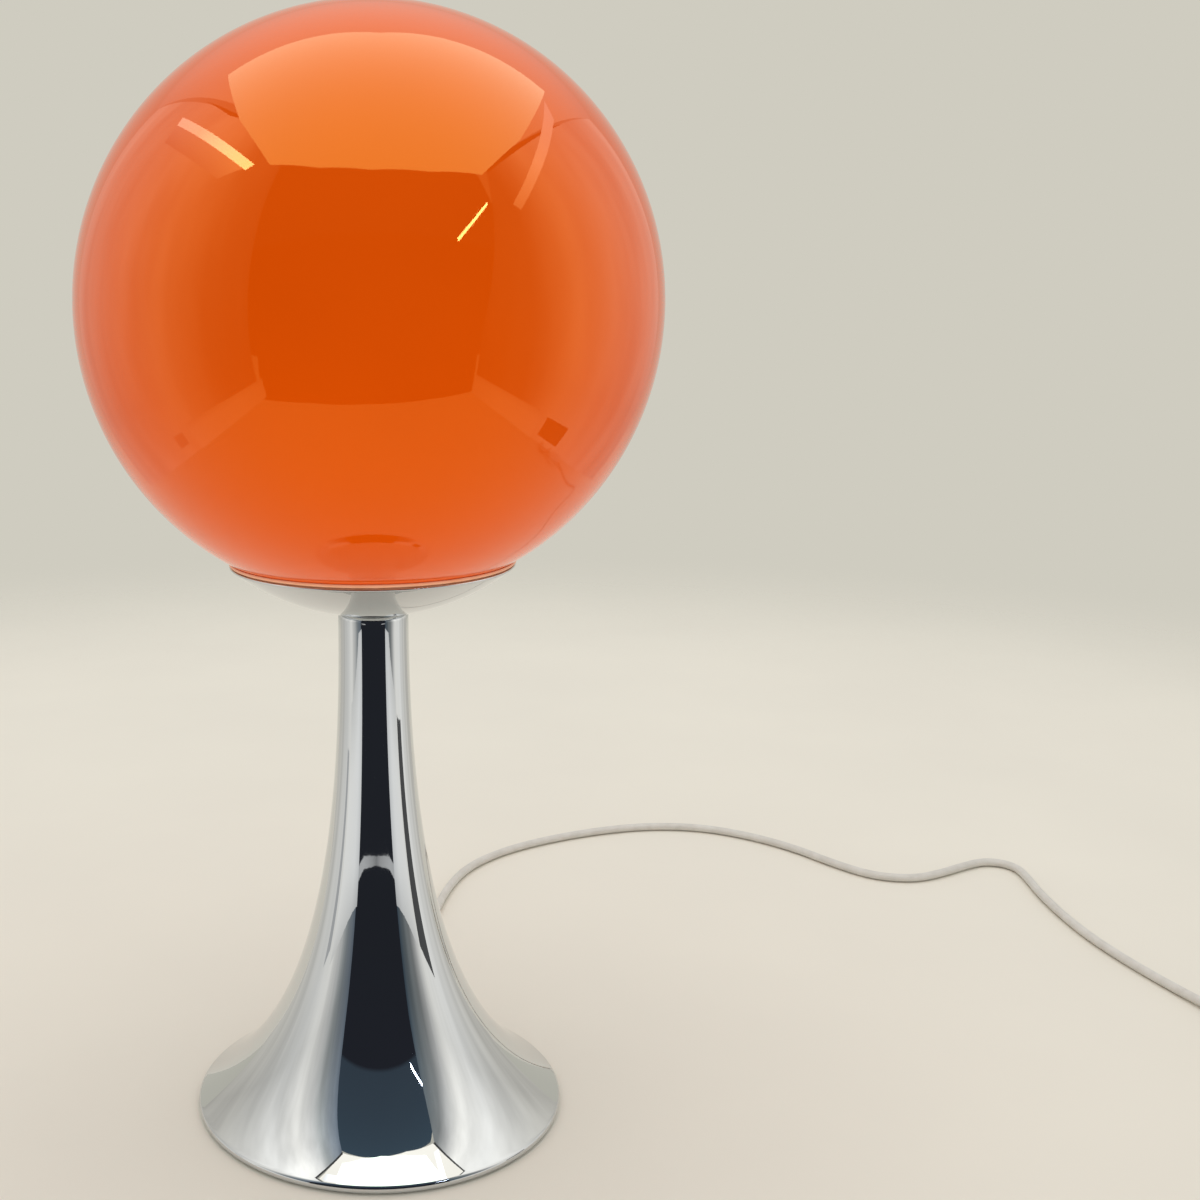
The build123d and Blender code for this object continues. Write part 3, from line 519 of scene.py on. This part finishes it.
# World: the backdrop's colour where it shows, and a plain light on the object
diffuse_light, backdrop = (0.76, 0.755, 0.745), (0.624, 0.604, 0.527)
world = bpy.data.worlds.new("studio")
scene.world = world
world.use_nodes = True
tree = world.node_tree
path = tree.nodes.new("ShaderNodeLightPath")
shown = path.outputs["Is Camera Ray"]
for ray in ("Is Glossy Ray", "Is Transmission Ray"):
    either = tree.nodes.new("ShaderNodeMath")
    either.operation = "MAXIMUM"
    tree.links.new(shown, either.inputs[0])
    tree.links.new(path.outputs[ray], either.inputs[1])
    shown = either.outputs["Value"]
mix = tree.nodes.new("ShaderNodeMix")
mix.data_type = "RGBA"
mix.inputs["A"].default_value = (*diffuse_light, 1)
mix.inputs["B"].default_value = (*backdrop, 1)
tree.links.new(shown, mix.inputs["Factor"])
tree.links.new(mix.outputs["Result"], tree.nodes["Background"].inputs["Color"])

# Floor, which fades into the backdrop
floor_radius, floor_sides, floor_height = 1.6, 96, -0.0002
fade_start, fade_end = 0.85, 1.5
floor_dark, floor_light = (0.80, 0.765, 0.675), (0.825, 0.79, 0.695)
floor_material, tree, shader, place = node_material("floor")
tree.links.new(
    ramp(tree, noise(tree, place, 5, 4.0), [(FIELD_LOW, floor_dark), (FIELD_HIGH, floor_light)]),
    shader.inputs["Base Color"],
)
shader.inputs["Roughness"].default_value = 0.9
shader.inputs["Specular IOR Level"].default_value = 0.1
distance = tree.nodes.new("ShaderNodeVectorMath")
distance.operation = "LENGTH"
tree.links.new(place, distance.inputs[0])
fade = tree.nodes.new("ShaderNodeMapRange")
fade.interpolation_type = "SMOOTHSTEP"
fade.inputs["From Min"].default_value = fade_start
fade.inputs["From Max"].default_value = fade_end
fade.inputs["To Min"].default_value = 1
fade.inputs["To Max"].default_value = 0
tree.links.new(distance.outputs["Value"], fade.inputs["Value"])
tree.links.new(fade.outputs["Result"], shader.inputs["Alpha"])
floor_angles = [2 * pi * step / floor_sides for step in range(floor_sides)]
stage_mesh(
    "floor",
    at_z(floor_height, *[(floor_radius * cos(angle), floor_radius * sin(angle)) for angle in floor_angles]),
    floor_material,
)


def lamp(name, place, target, size, power):
    """A soft lamp that lights the table and doesn't show in reflections."""
    data = bpy.data.lights.new(name, "AREA")
    data.shape = "DISK"
    data.size = size
    data.energy = power
    piece = bpy.data.objects.new(name, data)
    scene.collection.objects.link(piece)
    piece.location = place
    piece.rotation_euler = (Vector(target) - Vector(place)).to_track_quat("-Z", "Y").to_euler()
    piece.visible_glossy = False
    piece.visible_camera = False


lamp("overhead", (0.05, 0.4, 1.9), (0.0, 0.3, 0), 2.2, 9.5)
lamp("front_fill", (0, -1.7, 0.9), (0, 0, 0.3), 1.4, 0.7)
lamp("table_glow", (0, -0.28, 0.004), (0, -0.28, 1), 0.5, 0.42)

# Walls of the tent, and what lies just inside them
wall_x, skirt_x, gap_x, seam_x = 0.465, 0.462, 0.46, 0.459
left_wall = glow(
    "left_wall", 1.52, "Y",
    [(-0.544, (0.14, 0.17, 0.21)), (-0.42, (0.26, 0.29, 0.32)), (-0.326, (0.38, 0.40, 0.40)),
     (-0.23, grey(0.70, 0.95)), (-0.14, grey(0.98, 0.92)), (0.0, grey(0.95, 0.94)), (0.1, grey(0.82, 0.92)),
     (0.25, grey(0.68, 0.88)), (0.45, grey(0.62, 0.86))],
    "Z",
    [(0.0, grey(0.66)), (0.08, grey(0.60)), (0.175, grey(0.54)), (0.275, grey(0.62)), (0.40, grey(0.73)),
     (0.565, grey(0.87)), (0.82, grey(1.0)), (1.48, grey(1.0))],
    wrinkle=0.16,
)
tent(
    "left_wall",
    at_x(-wall_x, (-0.544, 0), (0.448, 0), (0.448, 0.806), (-0.023, 1.048), (-0.544, 1.476)),
    left_wall,
)
right_wall = glow(
    "right_wall", 1.38, "Y",
    [(-0.60, (0.05, 0.075, 0.10)), (-0.45, (0.14, 0.16, 0.17)), (-0.326, (0.24, 0.25, 0.25)),
     (-0.245, grey(0.54, 0.96)), (-0.16, grey(0.97, 0.92)), (0.0, grey(0.95, 0.94)), (0.1, grey(0.82, 0.92)),
     (0.25, grey(0.70, 0.88)), (0.45, grey(0.64, 0.86))],
    "Z",
    [(0.0, grey(0.74)), (0.08, grey(0.74)), (0.175, grey(0.72)), (0.275, grey(0.84)), (0.40, grey(0.93)),
     (0.565, grey(1.0)), (1.0, grey(1.0))],
    wrinkle=0.16,
)
tent(
    "right_wall",
    at_x(
        wall_x, (0.448, 0), (-0.60, 0), (-0.60, 0.28), (-0.52, 0.50), (-0.364, 0.90), (0.02, 0.82),
        (0.448, 0.744),
    ),
    right_wall,
)
cream = glow("cream", 1.5, "Y", [(-0.56, grey(1.0, 0.86)), (0.1, grey(0.9, 0.86)), (0.48, grey(0.45, 0.86))])
tent(
    "ceiling",
    [(-0.471, -0.556, 1.476), (0, -0.513, 1.24), (0.248, -0.469, 1.085), (0.471, -0.364, 0.93),
     (0.471, 0.473, 0.744), (-0.471, 0.473, 0.806)],
    cream,
)
seam = glow("seam", 1.0, "Y", [(-0.55, grey(0.06)), (0.0, grey(0.10)), (0.45, grey(0.3))])
tent(
    "left_seam",
    at_x(-seam_x, (-0.544, 1.463), (-0.023, 1.042), (0.163, 0.955), (-0.023, 1.01), (-0.544, 1.40)),
    seam,
)
tent("right_seam", at_x(seam_x, (-0.364, 0.924), (0.163, 0.787), (-0.351, 0.88)), seam)
fold = glow("fold", 0.5, "Y", [(-0.1, grey(1.0)), (0.0, grey(1.0))])
tent("left_gap", at_x(-gap_x, (-0.08, 0.04), (-0.03, 0.04), (-0.03, 0.08), (-0.08, 0.08)), fold)
tent("right_gap", at_x(gap_x, (-0.155, 0.025), (-0.04, 0.025), (-0.04, 0.09), (-0.155, 0.09)), seam)
skirt = glow(
    "skirt", 1.25, "Y", [(-0.60, grey(0.62, 1.0)), (-0.40, grey(0.82, 0.97)), (-0.10, grey(0.86, 0.94))],
    "Z", [(0.0, grey(1.0)), (0.07, grey(0.95)), (0.095, grey(0.74))],
)
tent("left_skirt", at_x(-skirt_x, (-0.58, 0), (-0.12, 0), (-0.12, 0.095), (-0.58, 0.095)), skirt)
tent("right_skirt", at_x(skirt_x, (-0.60, 0), (-0.18, 0), (-0.18, 0.095), (-0.60, 0.095)), skirt)

# Bright panel over the globe and the strips beside it
panel_height, strip_height, haze_height = 0.66, 0.55, 0.552
panel = glow("panel", 2.6, "Y", [(-0.32, (0.84, 1.0, 0.84)), (0.12, (0.84, 1.0, 0.84))])
tent(
    "panel",
    at_z(
        panel_height, (-0.175, 0.047), (0.016, 0.027), (0.248, 0.113), (0.27, -0.095), (0.252, -0.252),
        (0.13, -0.298), (0.006, -0.311), (-0.10, -0.29), (-0.196, -0.24), (-0.197, -0.092),
    ),
    panel,
)
left_strip = glow(
    "left_strip", 14.0, "Y",
    [(-0.17, (0.6, 0.9, 1.0)), (-0.12, (0.5, 0.7, 0.8)), (-0.06, (0.28, 0.33, 0.36)), (0.0, grey(0.2))],
)
tent(
    "left_strip",
    at_z(strip_height, (-0.189, -0.008), (-0.176, -0.008), (-0.141, -0.167), (-0.159, -0.167)),
    left_strip,
)
left_haze = glow(
    "left_haze", 2.6, "X", [(-0.235, grey(0.4)), (-0.19, grey(0.7)), (-0.15, grey(1.0))],
    "Y", [(-0.17, grey(1)), (-0.08, grey(0.8)), (0.0, grey(0.6))],
)
tent(
    "left_haze",
    at_z(haze_height, (-0.225, 0.0), (-0.186, -0.008), (-0.156, -0.165), (-0.21, -0.15)),
    left_haze,
)
right_strip = glow("right_strip", 2.8, "Y", [(-0.22, grey(0.55)), (-0.1, grey(1.0, 1.1)), (0.0, grey(0.6))])
tent(
    "right_strip",
    at_z(strip_height, (0.16, 0.0), (0.185, -0.01), (0.285, -0.21), (0.255, -0.21)),
    right_strip,
)

# Dark room in front of the tent, with the far end of the table and a lamp tube in it
room_y, flag_y, edge_height, far_height = -2.0, -1.0, 0.001, 0.002
dark_room = glow(
    "dark_room", 1.0, "Z",
    [(-0.3, (0.020, 0.022, 0.028)), (1.36, (0.020, 0.022, 0.030)), (1.44, (0.044, 0.062, 0.084)),
     (5.6, (0.056, 0.088, 0.120))],
)
tent("front_room", at_y(room_y, (-2.6, -0.3), (2.6, -0.3), (2.6, 5.6), (-2.6, 5.6)), dark_room)
tent(
    "table_edge",
    at_z(
        edge_height, (-0.465, -0.55), (-0.25, -0.61), (0.0, -0.635), (0.25, -0.63), (0.465, -0.61),
        (1.62, -1.99), (-1.7, -1.99),
    ),
    dark_room,
)
far_table = glow(
    "far_table", 0.55, "X",
    [(-0.8, grey(1.0)), (-0.25, grey(0.7)), (0.0, grey(0.5)), (0.25, grey(0.75)), (0.8, grey(1.0))],
)
far_half = [
    (0, -1.70), (0.3, -1.64), (0.58, -1.48), (0.75, -1.33), (1.0, -1.22), (1.3, -1.62), (0.9, -1.66),
    (0.7, -1.82), (0.4, -1.98), (0, -1.99),
]
for side in (-1, 1):
    tent("far_table", at_z(far_height, *[(side * x, y) for x, y in far_half]), far_table)
tent("far_flag", at_y(flag_y, (-0.9, 0.072), (0.9, 0.072), (0.9, 0.2), (-0.9, 0.2)), dark_room)
tube = glow("tube", 20.0, "Z", [(1.2, grey(1.0, 1.4)), (1.8, grey(1.0, 1.4))])
tent("tube", [(1.08, -1.63, 1.185), (1.66, -1.39, 1.795), (1.66, -1.39, 1.845), (1.08, -1.63, 1.235)], tube)
